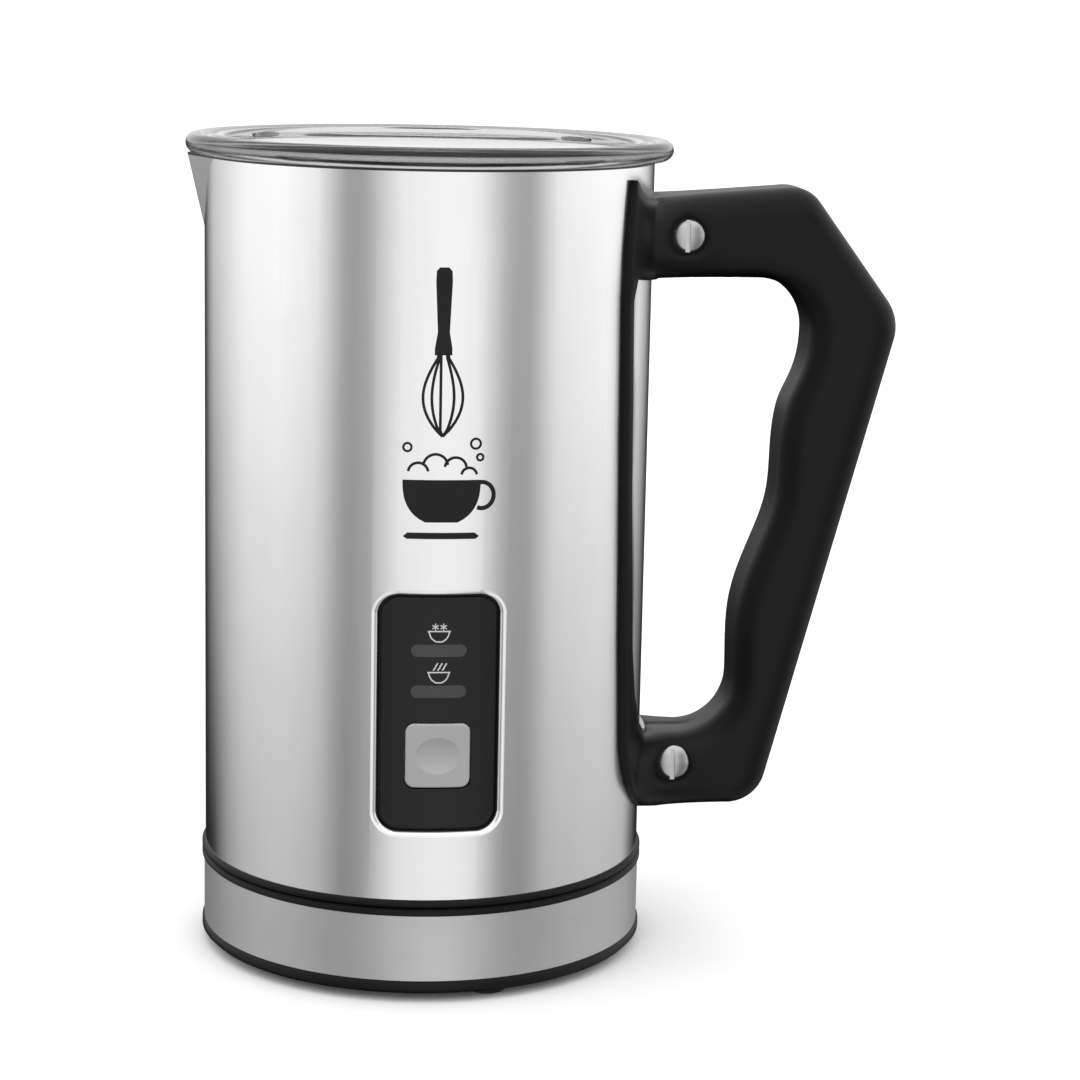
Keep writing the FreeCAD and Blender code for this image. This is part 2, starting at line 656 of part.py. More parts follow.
# ---------------------------------------------------------------- control panel
fascia_front = jug_r - panel_recess
fascia_back = fascia_front - fascia_t
flange_front = shell_in - 1.0 - gasket_t - 2 * tight
board_y = -(fascia_back - board_gap)
post_x = panel_w / 2 - 3.0
board_h = panel_h - 11.4
board_z = panel_z + 2.2
post_z = (board_z + 2.6, board_z + board_h - 2.6)


def make_panel():
    plate = front_skin(fascia_front, fascia_back, panel_w - 2 * panel_gap,
                       panel_h - 2 * panel_gap, panel_corner_r - panel_gap, panel_mid)
    rim = [e for e in plate.Edges
           if all(abs(math.hypot(v.X, v.Y) - fascia_front) < 0.01 for v in e.Vertexes)]
    plate = plate.makeFillet(fascia_edge_r, rim)
    wide = panel_w + 2 * flange_w
    high = panel_h + 2 * flange_w
    frame = front_skin(flange_front, flange_front - 1.3, wide, high, panel_corner_r + 2,
                       panel_mid)
    frame = frame.cut(rounded_plate(panel_w - 3, panel_h - 3, 3.5, *front_span, panel_mid))
    bridge = front_skin(fascia_back + 0.2, flange_front - 1.3, panel_w - 2 * tight,
                        panel_h - 2 * tight, panel_corner_r, panel_mid)
    bridge = bridge.cut(rounded_plate(panel_w - 3, panel_h - 3, 3.5, *front_span, panel_mid))
    fascia = plate.fuse([bridge, frame])
    hole = rounded_plate(button_w + 2 * slip, button_h + 2 * slip, 2 + slip, *front_span, button_z)
    fascia = fascia.cut(hole)
    for up in light_up:
        slot = rounded_plate(light_w + 2 * tight, light_h + 2 * tight, light_h / 2,
                             *front_span, panel_z + up)
        fascia = fascia.cut(slot)
    for x in (-post_x, post_x):
        for z in post_z:
            post = rod_y(2.0, -fascia_back + 0.3, board_y, x, z)
            bore = rod_y(0.9, -fascia_back + 2, board_y + 1, x, z)
            fascia = fascia.fuse(post).cut(bore)
    save("panel_fascia", fascia.removeSplitter())

    gasket = front_skin(shell_in - 1.0 - tight, shell_in - 1.0 - tight - gasket_t,
                        panel_w + 2 * sheet_t, panel_h + 2 * sheet_t,
                        panel_corner_r + sheet_t, panel_mid)
    save("panel_seal", gasket.cut(rounded_plate(panel_w + 0.2, panel_h + 0.2, panel_corner_r,
                                                *front_span, panel_mid)))
    for name, up in zip(("hot_light_bar", "cold_light_bar"), light_up):
        bar = rounded_plate(light_w, light_h, light_h / 2 - 0.01, *front_span, panel_z + up)
        bar = bar.common(tube(fascia_front, fascia_back - 1.5, panel_z, panel_z + panel_h))
        save(name, bar)


def dimple_cut(face_r):
    """Ring-shaped cutter that presses a shallow oval into a cap of radius face_r."""
    spare = 1.0
    upright_r = ((dimple_h / 2) ** 2 + dimple_deep ** 2) / (2 * dimple_deep)
    level_r = 1 / (2 * dimple_deep / (dimple_w / 2) ** 2 - 1 / face_r)
    deep = dimple_deep + spare
    half = math.sqrt(2 * upright_r * deep - deep ** 2)
    low = Vec(0, -face_r - spare, button_z - half)
    mid = Vec(0, dimple_deep - face_r, button_z)
    high = Vec(0, -face_r - spare, button_z + half)
    section = Part.Face(Part.Wire([Part.Arc(low, mid, high).toShape(), Part.makeLine(high, low)]))
    return section.revolve(Vec(0, dimple_deep - face_r - level_r, 0), UP, 360)


def make_controls():
    board = box(-panel_w / 2 + 0.5, panel_w / 2 - 0.5, board_y, board_y + board_t,
                board_z, board_z + board_h)
    heads = []
    for x in (-post_x, post_x):
        for z in post_z:
            board = board.cut(rod_y(1.0, board_y - 1, board_y + board_t + 1, x, z))
            shank = rod_y(0.85, board_y - 2.5, board_y + board_t, x, z)
            head = rod_y(1.9, board_y + board_t, board_y + board_t + 1.1, x, z)
            heads.append(shank.fuse(head).removeSplitter())
    save("control_board", board)
    save("panel_screws", *heads)
    leds = [box(-led_w / 2, led_w / 2, board_y - led_h, board_y,
                panel_z + up - 1.2, panel_z + up + 1.2) for up in light_up]
    save("indicator_leds", *leds)

    switch_front = board_y - switch_h
    plunger_front = switch_front - button_travel - 0.2
    well = rod_y(1.65, switch_front - 1, board_y - 0.5, 0, button_z)
    body = rounded_plate(switch_w, switch_w, 0.5, switch_front, board_y, button_z)
    save("button_switch", body.cut(well))
    save("switch_plunger", rod_y(1.6, plunger_front, board_y - 0.6 - button_travel, 0, button_z))

    flange = rounded_plate(button_w + 1.8, button_h + 1.8, 2.5, plunger_front - 0.8,
                           plunger_front, button_z)
    cap = rounded_plate(button_w, button_h, 2.0, front_span[0], plunger_front, button_z)
    cap = cap.common(rod(fascia_front + button_proud, panel_z, panel_z + panel_h))
    rim = [e for e in cap.Edges
           if all(abs(math.hypot(v.X, v.Y) - fascia_front - button_proud) < 0.01
                  for v in e.Vertexes)]
    cap = cap.makeFillet(0.5, rim)
    save("power_button", fuse(cap.cut(dimple_cut(fascia_front + button_proud)), flange))


# ---------------------------------------------------------------- handle
def handle_side():
    """Side outline of the handle: two arms and the grip, as one closed face."""
    def pt(x, up):
        return Vec(x, 0, shell_z + up)
    inner_x = jug_r - saddle_depth
    top_up = shell_h - arm_top_down
    top0 = pt(inner_x, top_up)
    top1 = pt(jug_r + 36.2, top_up + 4.0)
    knee = pt(jug_r + 59.1, shell_h - 35.6)
    heel = pt(jug_r + 28.6, heel_up)
    low = pt(inner_x, heel_up)
    a1, m1, b1 = corner_arc(top0, top1, knee, 8.0)
    a2, m2, b2 = corner_arc(top1, knee, heel, 11.0)
    a3, m3, b3 = corner_arc(knee, heel, low, 9.5)
    low_r = 12.7
    high_r = 12.5
    low_mid = pt(jug_r + 9.1, opening_up + low_r)
    grip_h = opening_top - high_r - opening_up - low_r
    high_mid = pt(jug_r + 9.2 + grip_lean, opening_top - high_r)
    slant = math.sqrt(0.5)
    a4, b4 = low_mid - UP * low_r, low_mid + OUT * low_r
    m4 = low_mid + (OUT - UP) * low_r * slant
    a5, b5 = high_mid + OUT * high_r, high_mid + UP * high_r
    m5 = high_mid + (OUT + UP) * high_r * slant
    waves = [(0.0, 0.094), (0.039, 0.214), (0.321, 0.382), (0.559, 0.519), (0.604, 0.651),
             (0.694, 0.788)]
    grip = [pt(jug_r + 21.7 + grip_lean * out, opening_up + low_r + share * grip_h)
            for out, share in waves]
    curve = smooth_curve([b4] + grip + [a5], Vec(UP), Vec(UP))
    line = Part.makeLine
    edges = [line(top0, a1), Part.Arc(a1, m1, b1).toShape(), line(b1, a2),
             Part.Arc(a2, m2, b2).toShape(), line(b2, a3), Part.Arc(a3, m3, b3).toShape(),
             line(b3, low), line(low, pt(inner_x, opening_up)), line(pt(inner_x, opening_up), a4),
             Part.Arc(a4, m4, b4).toShape(), curve, Part.Arc(a5, m5, b5).toShape(),
             line(b5, pt(inner_x, opening_top)), line(pt(inner_x, opening_top), top0)]
    return Part.Face(Part.Wire(edges))


def handle_flare():
    """Plan of the handle: wide where it hugs the jug, then as thick as the grip."""
    half = grip_w / 2
    wide = 37.0
    first, last, end_x = jug_r - saddle_depth, jug_r + 24, jug_r + 70
    edge = [(first, wide), (jug_r - 11, 31.8), (jug_r - 7.5, 25.8), (jug_r - 3.5, 20.6),
            (jug_r + 1.5, 16.0), (jug_r + 7, 13.2), (jug_r + 14, 11.9), (last, half)]
    sides = [smooth_curve([Vec(x, sign * y, 0) for x, y in edge], Vec(1, -sign * 1.8, 0),
                          Vec(OUT)) for sign in (-1, 1)]
    line = Part.makeLine
    wire = Part.Wire([sides[0], line(Vec(last, -half, 0), Vec(end_x, -half, 0)),
                      line(Vec(end_x, -half, 0), Vec(end_x, half, 0)),
                      line(Vec(end_x, half, 0), Vec(last, half, 0)), sides[1],
                      line(Vec(first, wide, 0), Vec(first, -wide, 0))])
    flare = Part.Face(wire).extrude(Vec(0, 0, shell_h + 40))
    flare.translate(Vec(0, 0, shell_z - 20))
    return flare


def saddle_outline(points):
    """Mirrored outline in the YZ plane from its +Y half, given from the bottom up."""
    right = [Vec(0, y, shell_z + up) for y, up in points]
    left = [Vec(0, -y, shell_z + up) for y, up in reversed(points)]
    return Part.Face(Part.makePolygon(right + left + right[:1]))


def make_handle():
    arms = handle_side().extrude(Vec(0, 90, 0))
    arms.translate(Vec(0, -45, 0))
    arms = arms.common(handle_flare())
    rims = [e for e in arms.Edges
            if min(abs(v.Y) for v in e.Vertexes) > 5 and e.CenterOfMass.x > jug_r - 13
            and abs(e.tangentAt((e.FirstParameter + e.LastParameter) / 2).y) < 0.95]
    arms = arms.makeFillet(grip_edge_r, rims)
    shoulder_up = shell_h - 29.5
    side = [(9, heel_up), (15, heel_up + 2.2), (20, heel_up + 5.2), (24, heel_up + 9.2),
            (26.6, heel_up + 14), (28.0, heel_up + 19), (29.4, 0.32 * shell_h),
            (30.9, 0.609 * shell_h), (saddle_half, shoulder_up), (31.3, shell_h - 18.5),
            (30.5, shell_h - 9.5)]
    ears = [(29.7, shell_h - 2.6), (29.0, shell_h - 3.2), (27.3, shell_h - 5.2),
            (24.5, shell_h - 6.9), (19, shell_h - 8.0), (8, shell_h - 8.6)]
    arms = arms.common(saddle_outline(side + [(30.5, shell_h)]).extrude(OUT * 200))
    arms = arms.cut(rod(jug_r + tight, 0, rim_z + beyond))

    skin = tube(jug_r + strap_t, jug_r + tight, shell_z, shell_top)
    window = saddle_outline([(8, opening_up), (15, opening_up + 2.2), (20, opening_up + 5.6),
                             (23.9, opening_up + 13.1), (26.1, 0.32 * shell_h),
                             (28.4, 0.54 * shell_h), (29.8, shoulder_up),
                             (28.0, opening_top + 1.6), (22, opening_top + 0.7),
                             (12, opening_top)])
    strap = saddle_outline(side + ears).cut(window).extrude(OUT * (jug_r + 10)).common(skin)
    handle = arms.fuse(strap).removeSplitter()

    for up in arm_screw_z:
        z = shell_z + up
        handle = handle.cut(bracket_solid(z, 0.2))
        handle = handle.cut(rod_y(bolt_r, -grip_w, grip_w, arm_screw_x, z))
        for y0, y1 in ((-grip_w, -screw_seat), (screw_seat, grip_w)):
            handle = handle.cut(rod_y(screw_sink_r, y0, y1, arm_screw_x, z))
    save("handle", handle)


def bracket_solid(z, grow):
    """Steel tongue welded to the jug; grow makes the handle's pocket for it."""
    half_t = bracket_t / 2 + grow
    half_h = bracket_h / 2 + grow
    half_foot = bracket_foot / 2 + grow
    tongue = box(jug_r - 3, arm_screw_x + 7 + grow, -half_t, half_t, z - half_h, z + half_h)
    foot = box(jug_r - 6, jug_r + 10, -half_foot, half_foot, z - half_foot, z + half_foot)
    foot = foot.common(tube(jug_r + 1.2 + grow, jug_r - 5, z - 20, z + 20))
    return tongue.fuse(foot).cut(rod(jug_r, z - 30, z + 30)).removeSplitter()


def screw_head(sign, z):
    """Low domed head with a slot, on the side given by sign."""
    dome_r = (screw_head_r ** 2 + screw_head_h ** 2) / (2 * screw_head_h)
    crown = screw_seat + screw_head_h
    ball = Part.makeSphere(dome_r, Vec(arm_screw_x, sign * (crown - dome_r), z))
    low, high = sorted((sign * screw_seat, sign * crown))
    head = ball.common(rod_y(screw_head_r, low, high, arm_screw_x, z))
    low, high = sorted((sign * (crown - slot_deep), sign * (crown + 1)))
    return head.cut(box(arm_screw_x - slot_w / 2, arm_screw_x + slot_w / 2, low, high,
                        z - screw_head_r, z + screw_head_r))


def make_handle_fixings():
    screws = []
    nuts = []
    for name, up in zip(("handle_bracket_lower", "handle_bracket_upper"), arm_screw_z):
        z = shell_z + up
        hole = rod_y(bolt_r, -grip_w, grip_w, arm_screw_x, z)
        save(name, bracket_solid(z, 0.0).cut(hole))
        core_end = screw_seat - bolt_core_r
        core = rod_y(bolt_core_r, -screw_seat, core_end, arm_screw_x, z)
        screws.append(fuse(screw_head(-1, z), core))
        sleeve = rod_y(bolt_r - tight, -screw_seat / 2, screw_seat, arm_screw_x, z)
        bore = rod_y(bolt_core_r + tight, -screw_seat, core_end + tight, arm_screw_x, z)
        nuts.append(fuse(screw_head(1, z), sleeve.cut(bore)))
    save("handle_screws", *screws)
    save("handle_sleeve_nuts", *nuts)


make_jug_bottom()
make_drive()
make_heater()
make_power_board()
make_shell()
make_bowl()
make_whisk()
make_lid()
make_panel()
make_controls()
make_handle()
make_handle_fixings()
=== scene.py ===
"""Looks of the electric milk frother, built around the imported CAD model.

Metres, in the frame of the CAD model: +Z up, -Y front with the panel, +X handle, -X spout.
"""
import json
import math

import bmesh
import bpy
from mathutils import Matrix, Vector


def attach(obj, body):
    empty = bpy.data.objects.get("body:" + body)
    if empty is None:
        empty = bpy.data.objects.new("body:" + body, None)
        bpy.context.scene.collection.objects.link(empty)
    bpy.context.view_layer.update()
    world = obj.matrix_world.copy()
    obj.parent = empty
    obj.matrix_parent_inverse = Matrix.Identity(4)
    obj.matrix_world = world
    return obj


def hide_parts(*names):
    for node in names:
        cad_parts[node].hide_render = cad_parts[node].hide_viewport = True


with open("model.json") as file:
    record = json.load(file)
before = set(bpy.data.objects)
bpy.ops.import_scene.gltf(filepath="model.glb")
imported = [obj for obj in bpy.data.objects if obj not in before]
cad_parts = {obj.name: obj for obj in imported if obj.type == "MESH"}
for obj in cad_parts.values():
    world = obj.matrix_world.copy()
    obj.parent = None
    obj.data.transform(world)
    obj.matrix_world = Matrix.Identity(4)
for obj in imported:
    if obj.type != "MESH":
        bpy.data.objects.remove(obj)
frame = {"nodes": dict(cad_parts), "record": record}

MM = 0.001
UP = Vector((0.0, 0.0, 1.0))
NODES = frame["nodes"]
JUG_R = 52.0 * MM
PANEL_LOW = 39.8 * MM         # lower edge of the control panel
FASCIA_R = 50.7 * MM          # radius of the panel's face
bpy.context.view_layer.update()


# ------------------------------------------------------------------ node graph helpers
def new_material(name):
    """An empty node material with a Principled shader, ready for its colour and bump."""
    mat = bpy.data.materials.new(name)
    mat.use_nodes = True
    tree = mat.node_tree
    tree.nodes.clear()
    out = tree.nodes.new("ShaderNodeOutputMaterial")
    shader = tree.nodes.new("ShaderNodeBsdfPrincipled")
    tree.links.new(shader.outputs["BSDF"], out.inputs["Surface"])
    return mat, tree, shader


def noise(tree, scale, detail=3.0, stretch=(1.0, 1.0, 1.0)):
    """Noise in object space; scale counts its features per metre."""
    place = tree.nodes.new("ShaderNodeTexCoord")
    mapping = tree.nodes.new("ShaderNodeMapping")
    mapping.inputs["Scale"].default_value = stretch
    tex = tree.nodes.new("ShaderNodeTexNoise")
    tex.inputs["Scale"].default_value = scale
    tex.inputs["Detail"].default_value = detail
    tree.links.new(place.outputs["Object"], mapping.inputs["Vector"])
    tree.links.new(mapping.outputs["Vector"], tex.inputs["Vector"])
    return tex.outputs["Fac"]


def map_range(tree, value, from_min, from_max, to_min, to_max):
    """The value mapped from one range to another, and held within it."""
    node = tree.nodes.new("ShaderNodeMapRange")
    node.inputs["From Min"].default_value = from_min
    node.inputs["From Max"].default_value = from_max
    node.inputs["To Min"].default_value = to_min
    node.inputs["To Max"].default_value = to_max
    tree.links.new(value, node.inputs["Value"])
    return node.outputs["Result"]


def ranged(tree, value, low, high):
    """The noise value mapped from its usual middle range to low..high."""
    return map_range(tree, value, 0.3, 0.7, low, high)


def blended(tree, value, dark, light):
    """Colour between dark and light by the noise value."""
    ramp = tree.nodes.new("ShaderNodeValToRGB")
    ramp.color_ramp.elements[0].position = 0.3
    ramp.color_ramp.elements[0].color = (*dark, 1.0)
    ramp.color_ramp.elements[1].position = 0.7
    ramp.color_ramp.elements[1].color = (*light, 1.0)
    tree.links.new(value, ramp.inputs["Fac"])
    return ramp.outputs["Color"]


def bump(tree, shader, height, distance, soften=0.0):
    """Bump on the shader's normal; soften rounds the corners of the piece by that radius."""
    node = tree.nodes.new("ShaderNodeBump")
    if soften:
        corner = tree.nodes.new("ShaderNodeBevel")
        corner.samples = 8
        corner.inputs["Radius"].default_value = soften
        tree.links.new(corner.outputs["Normal"], node.inputs["Normal"])
    node.inputs["Strength"].default_value = 1.0
    node.inputs["Distance"].default_value = distance
    tree.links.new(height, node.inputs["Height"])
    tree.links.new(node.outputs["Normal"], shader.inputs["Normal"])


def surface(name, dark, light, rough, grain, stretch=(1.0, 1.0, 1.0), metallic=0.0,
            bump_height=0.0, colour_scale=60.0, specular=0.5, soften=0.0):
    """Common finish: mottled colour, uneven roughness and a fine bump."""
    mat, tree, shader = new_material(name)
    shader.inputs["Metallic"].default_value = metallic
    shader.inputs["Specular IOR Level"].default_value = specular
    mottle = noise(tree, colour_scale, 4.0)
    tree.links.new(blended(tree, mottle, dark, light), shader.inputs["Base Color"])
    fine = noise(tree, grain, 3.0, stretch)
    tree.links.new(ranged(tree, fine, *rough), shader.inputs["Roughness"])
    if bump_height:
        bump(tree, shader, fine, bump_height, soften)
    return mat


def grey(value):
    return (value, value, value)


MATS = {
    "steel_satin": surface("steel_satin", grey(0.90), grey(0.93), (0.16, 0.20), 1500.0,
                           (1.0, 1.0, 0.03), metallic=1.0, bump_height=0.000001),
    "steel_band": surface("steel_band", grey(0.60), grey(0.65), (0.42, 0.48), 5200.0,
                          (0.02, 0.02, 1.0), metallic=1.0, bump_height=0.000002),
    "bowl_coating": surface("bowl_coating", grey(0.045), grey(0.06), (0.38, 0.50), 1500.0,
                            bump_height=0.00001),
    "black_plastic": surface("black_plastic", grey(0.0025), grey(0.004), (0.38, 0.46), 2600.0,
                             bump_height=0.000008, specular=0.22, soften=0.0035),
    "panel_plastic": surface("panel_plastic", grey(0.009), grey(0.011), (0.30, 0.36), 2600.0,
                             bump_height=0.000003, specular=0.28),
    "button_plastic": surface("button_plastic", grey(0.44), grey(0.47), (0.34, 0.42), 2600.0,
                              bump_height=0.000004),
    "light_bar": surface("light_bar", grey(0.045), grey(0.052), (0.30, 0.36), 2600.0,
                         bump_height=0.000001),
    "seal_rubber": surface("seal_rubber", grey(0.006), grey(0.009), (0.50, 0.62), 2000.0,
                           bump_height=0.00002, specular=0.25),
    "foot_rubber": surface("foot_rubber", grey(0.008), grey(0.012), (0.62, 0.74), 1800.0,
                           bump_height=0.00004, specular=0.25),
    "bright_steel": surface("bright_steel", grey(0.50), grey(0.56), (0.20, 0.28), 3000.0,
                            (1.0, 1.0, 0.1), metallic=1.0, bump_height=0.000003),
    "plain_steel": surface("plain_steel", grey(0.42), grey(0.50), (0.32, 0.46), 1600.0,
                           metallic=1.0, bump_height=0.00001),
    "aluminium": surface("aluminium", grey(0.66), grey(0.72), (0.34, 0.46), 1800.0,
                         (1.0, 0.05, 1.0), metallic=1.0, bump_height=0.00001),
    "brass": surface("brass", (0.62, 0.43, 0.16), (0.72, 0.52, 0.22), (0.28, 0.40), 1500.0,
                     metallic=1.0, bump_height=0.000006),
    "board": surface("board", (0.012, 0.09, 0.035), (0.018, 0.12, 0.05), (0.25, 0.35), 1200.0,
                     bump_height=0.000006),
    "white_plastic": surface("white_plastic", (0.62, 0.61, 0.57), (0.68, 0.67, 0.63),
                             (0.40, 0.52), 2000.0, bump_height=0.00001),
    "printed_ink": surface("printed_ink", grey(0.012), grey(0.018), (0.45, 0.55), 3000.0,
                           bump_height=0.000002, specular=0.2),
    "printed_white": surface("printed_white", grey(0.68), grey(0.74), (0.45, 0.55), 3000.0,
                             bump_height=0.000002, specular=0.2),
}


def clear_plastic(name, tint, rough):
    """Clear moulding with a little uneven haze in its tint and roughness."""
    mat, tree, shader = new_material(name)
    shader.inputs["Transmission Weight"].default_value = 1.0
    shader.inputs["IOR"].default_value = 1.49
    haze = noise(tree, 140.0, 3.0)
    tree.links.new(blended(tree, haze, grey(tint), grey(tint + 0.03)), shader.inputs["Base Color"])
    tree.links.new(ranged(tree, haze, *rough), shader.inputs["Roughness"])
    return mat


MATS["clear_plastic"] = clear_plastic("clear_plastic", 0.90, (0.02, 0.04))
MATS["clear_edge"] = clear_plastic("clear_edge", 0.34, (0.14, 0.18))
MATS["clear_rib"] = clear_plastic("clear_rib", 0.62, (0.05, 0.08))


def dress_cad_nodes():
    """Every carried-over CAD node gets the material of its slot."""
    slots = {part["node"]: part["material_slot"] for part in frame["record"]["subparts"]}
    for name, obj in NODES.items():
        obj.data.materials.clear()
        obj.data.materials.append(MATS[slots[name]])


dress_cad_nodes()


# ------------------------------------------------------------------ mesh helpers
def link_piece(name, bm, material, body):
    """Turns a bmesh in the row frame into a smooth-shaded piece that rides on a body."""
    for face in bm.faces:
        face.smooth = True
    mesh = bpy.data.meshes.new(name)
    bm.to_mesh(mesh)
    bm.free()
    mesh.materials.append(MATS[material])
    obj = bpy.data.objects.new(name, mesh)
    bpy.context.scene.collection.objects.link(obj)
    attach(obj, body)
    return obj


def add_solid(name, bm, material, body):
    """A closed piece, with its faces turned outwards."""
    bmesh.ops.recalc_face_normals(bm, faces=bm.faces)
    return link_piece(name, bm, material, body)


def close_tube(bm, loops):
    """Joins loops of vertices, in order, into a closed ring-shaped tube."""
    for first, second in zip(loops, loops[1:] + loops[:1]):
        around = len(first)
        for j in range(around):
            k = (j + 1) % around
            bm.faces.new((first[j], first[k], second[k], second[j]))


def sharpen(obj, degrees=32.0):
    """Keeps corners sharper than the given angle crisp under smooth shading."""
    limit = math.radians(degrees)
    bm = bmesh.new()
    bm.from_mesh(obj.data)
    for edge in bm.edges:
        if len(edge.link_faces) == 2 and edge.calc_face_angle(0.0) > limit:
            edge.smooth = False
    bm.to_mesh(obj.data)
    bm.free()


def lathe(bm, profile, steps):
    """Closed surface of revolution about the Z axis from (r, z) points in millimetres."""
    rings = []
    for r, z in profile:
        if r < 1e-6:
            rings.append([bm.verts.new((0.0, 0.0, z * MM))])
            continue
        ring = []
        for i in range(steps):
            a = 2 * math.pi * i / steps
            ring.append(bm.verts.new((r * MM * math.cos(a), r * MM * math.sin(a), z * MM)))
        rings.append(ring)
    for first, second in zip(rings, rings[1:] + rings[:1]):
        if len(first) == 1 and len(second) == 1:
            continue
        for i in range(steps):
            j = (i + 1) % steps
            if len(first) == 1:
                bm.faces.new((first[0], second[i], second[j]))
            elif len(second) == 1:
                bm.faces.new((first[i], first[j], second[0]))
            else:
                bm.faces.new((first[i], first[j], second[j], second[i]))


def arc_points(centre_r, centre_z, radius, start, end, steps):
    """Points in degrees along an arc of the (r, z) profile."""
    points = []
    for i in range(steps + 1):
        a = math.radians(start + (end - start) * i / steps)
        points.append((centre_r + radius * math.cos(a), centre_z + radius * math.sin(a)))
    return points


# ------------------------------------------------------------------ lid
# Millimetres.
LID_SEAT = 187.05             # underside of the seal's flange
LID_LOW = LID_SEAT + 0.65
LID_TOP = LID_LOW + 2.0
BEAD_AT, BEAD_R = 54.0, 2.3   # centre and section radius of the round edge
RING_AT, RING_R = 49.0, 1.5   # the same for the raised ring
SKIRT_IN, SKIRT_OUT = 45.6, 47.85
SKIRT_LOW = 180.65
CORNER = 0.25
RIB_AT = 45.0                 # radius where the ribs lie
RIB_WIRE = 0.38
RIB_ANGLES = (-50.0, -130.0, 35.0, 147.0)


def make_lid():
    """Clear lid: thick round edge, raised ring, skirt, and four raised eye-shaped ribs."""
    bm = bmesh.new()
    bead = arc_points(BEAD_AT, LID_SEAT + BEAD_R, BEAD_R, -134, 172, 26)
    ring = arc_points(RING_AT, LID_TOP + 0.1, RING_R, 8, 172, 12)
    profile = [(0.0, LID_LOW), (SKIRT_IN - 0.3, LID_LOW), (SKIRT_IN - 0.05, LID_LOW - 0.3),
               (SKIRT_IN, SKIRT_LOW + CORNER), (SKIRT_IN + 0.3, SKIRT_LOW),
               (SKIRT_OUT - 0.3, SKIRT_LOW), (SKIRT_OUT, SKIRT_LOW + CORNER),
               (SKIRT_OUT, LID_LOW - 0.2), (SKIRT_OUT + CORNER, LID_LOW)]
    lathe(bm, profile + bead + ring + [(0.0, LID_TOP)], 192)
    lid = add_solid("lid_clear", bm, "clear_plastic", "lid")
    lid.data.materials.append(MATS["clear_edge"])
    for face in lid.data.polygons:
        if math.hypot(face.center.x, face.center.y) > JUG_R:
            face.material_index = 1
    sharpen(lid, 50.0)
    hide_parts("lid_disc")

    for number, degrees in enumerate(RIB_ANGLES):
        bm = bmesh.new()
        eye_rib(bm, degrees)
        rib = add_solid("lid_rib_%d" % number, bm, "clear_rib", "lid")


def eye_rib(bm, degrees):
    """Raised loop on the lid in the shape of an eye, which lies along the rim."""
    steps, around = 40, 8
    turn = math.radians(degrees)
    loops = []
    for i in range(steps):
        t = 2 * math.pi * i / steps
        along = 5.0 * math.cos(t)
        across = 1.75 * math.sin(t) * (1.0 - 0.35 * math.cos(t) ** 2)
        out_a, out_c = math.cos(t), math.sin(t) * 1.6
        size = math.hypot(out_a, out_c)
        loop = []
        for j in range(around):
            s = 2 * math.pi * j / around
            shift = RIB_WIRE * math.cos(s)
            a = along + shift * out_a / size
            c = across + shift * out_c / size
            z = LID_TOP + 0.25 + 0.5 * math.sin(s)
            r = RIB_AT + c
            x = r * math.cos(turn) - a * math.sin(turn)
            y = r * math.sin(turn) + a * math.cos(turn)
            loop.append(bm.verts.new((x * MM, y * MM, z * MM)))
        loops.append(loop)
    close_tube(bm, loops)


make_lid()


# ------------------------------------------------------------------ whisk
def make_coil():
    """Spring of thin wire wound round the whisk's edge, closed into a ring."""
    bm = bmesh.new()
    turns, per_turn, around = 64, 14, 8
    ring_r, coil_r, wire_r = 17.4, 2.05, 0.40
    ring = NODES["whisk_coil"].data.vertices
    height = sum(v.co.z for v in ring) / len(ring) / MM
    loops = []
    count = turns * per_turn
    for i in range(count):
        a = 2 * math.pi * i / count
        b = 2 * math.pi * i / per_turn
        out = Vector((math.cos(a), math.sin(a), 0.0))
        arm = out * math.cos(b) + UP * math.sin(b)
        centre = out * ring_r + UP * height + arm * coil_r
        along = Vector((-math.sin(a), math.cos(a), 0.0)) * (ring_r / turns)
        swing = (UP * math.cos(b) - out * math.sin(b)) * coil_r
        tangent = (along + swing).normalized()
        side = tangent.cross(arm).normalized()
        loop = []
        for j in range(around):
            s = 2 * math.pi * j / around
            point = centre + (arm * math.cos(s) + side * math.sin(s)) * wire_r
            loop.append(bm.verts.new(point * MM))
        loops.append(loop)
    close_tube(bm, loops)
    coil = add_solid("whisk_wire_coil", bm, "bright_steel", "whisk")
    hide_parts("whisk_coil")


make_coil()


# ------------------------------------------------------------------ printed marks
PRINT_LIFT = 0.06 * MM        # prints stand this far off the wall
PRINT_STEP = 0.8              # longest piece of a printed line, mm


def wrap(points, radius):
    """Millimetre (across, up) points laid just proud of the front of a cylinder."""
    made = []
    r = radius + PRINT_LIFT
    for across, up in points:
        a = across * MM / radius
        made.append(Vector((r * math.sin(a), -r * math.cos(a), up * MM)))
    return made


def refined(points, step):
    """The same polyline with long segments divided, so that it follows the curved wall."""
    made = [points[0]]
    for (x0, y0), (x1, y1) in zip(points, points[1:]):
        count = max(1, math.ceil(math.hypot(x1 - x0, y1 - y0) / step))
        for i in range(1, count + 1):
            made.append((x0 + (x1 - x0) * i / count, y0 + (y1 - y0) * i / count))
    return made


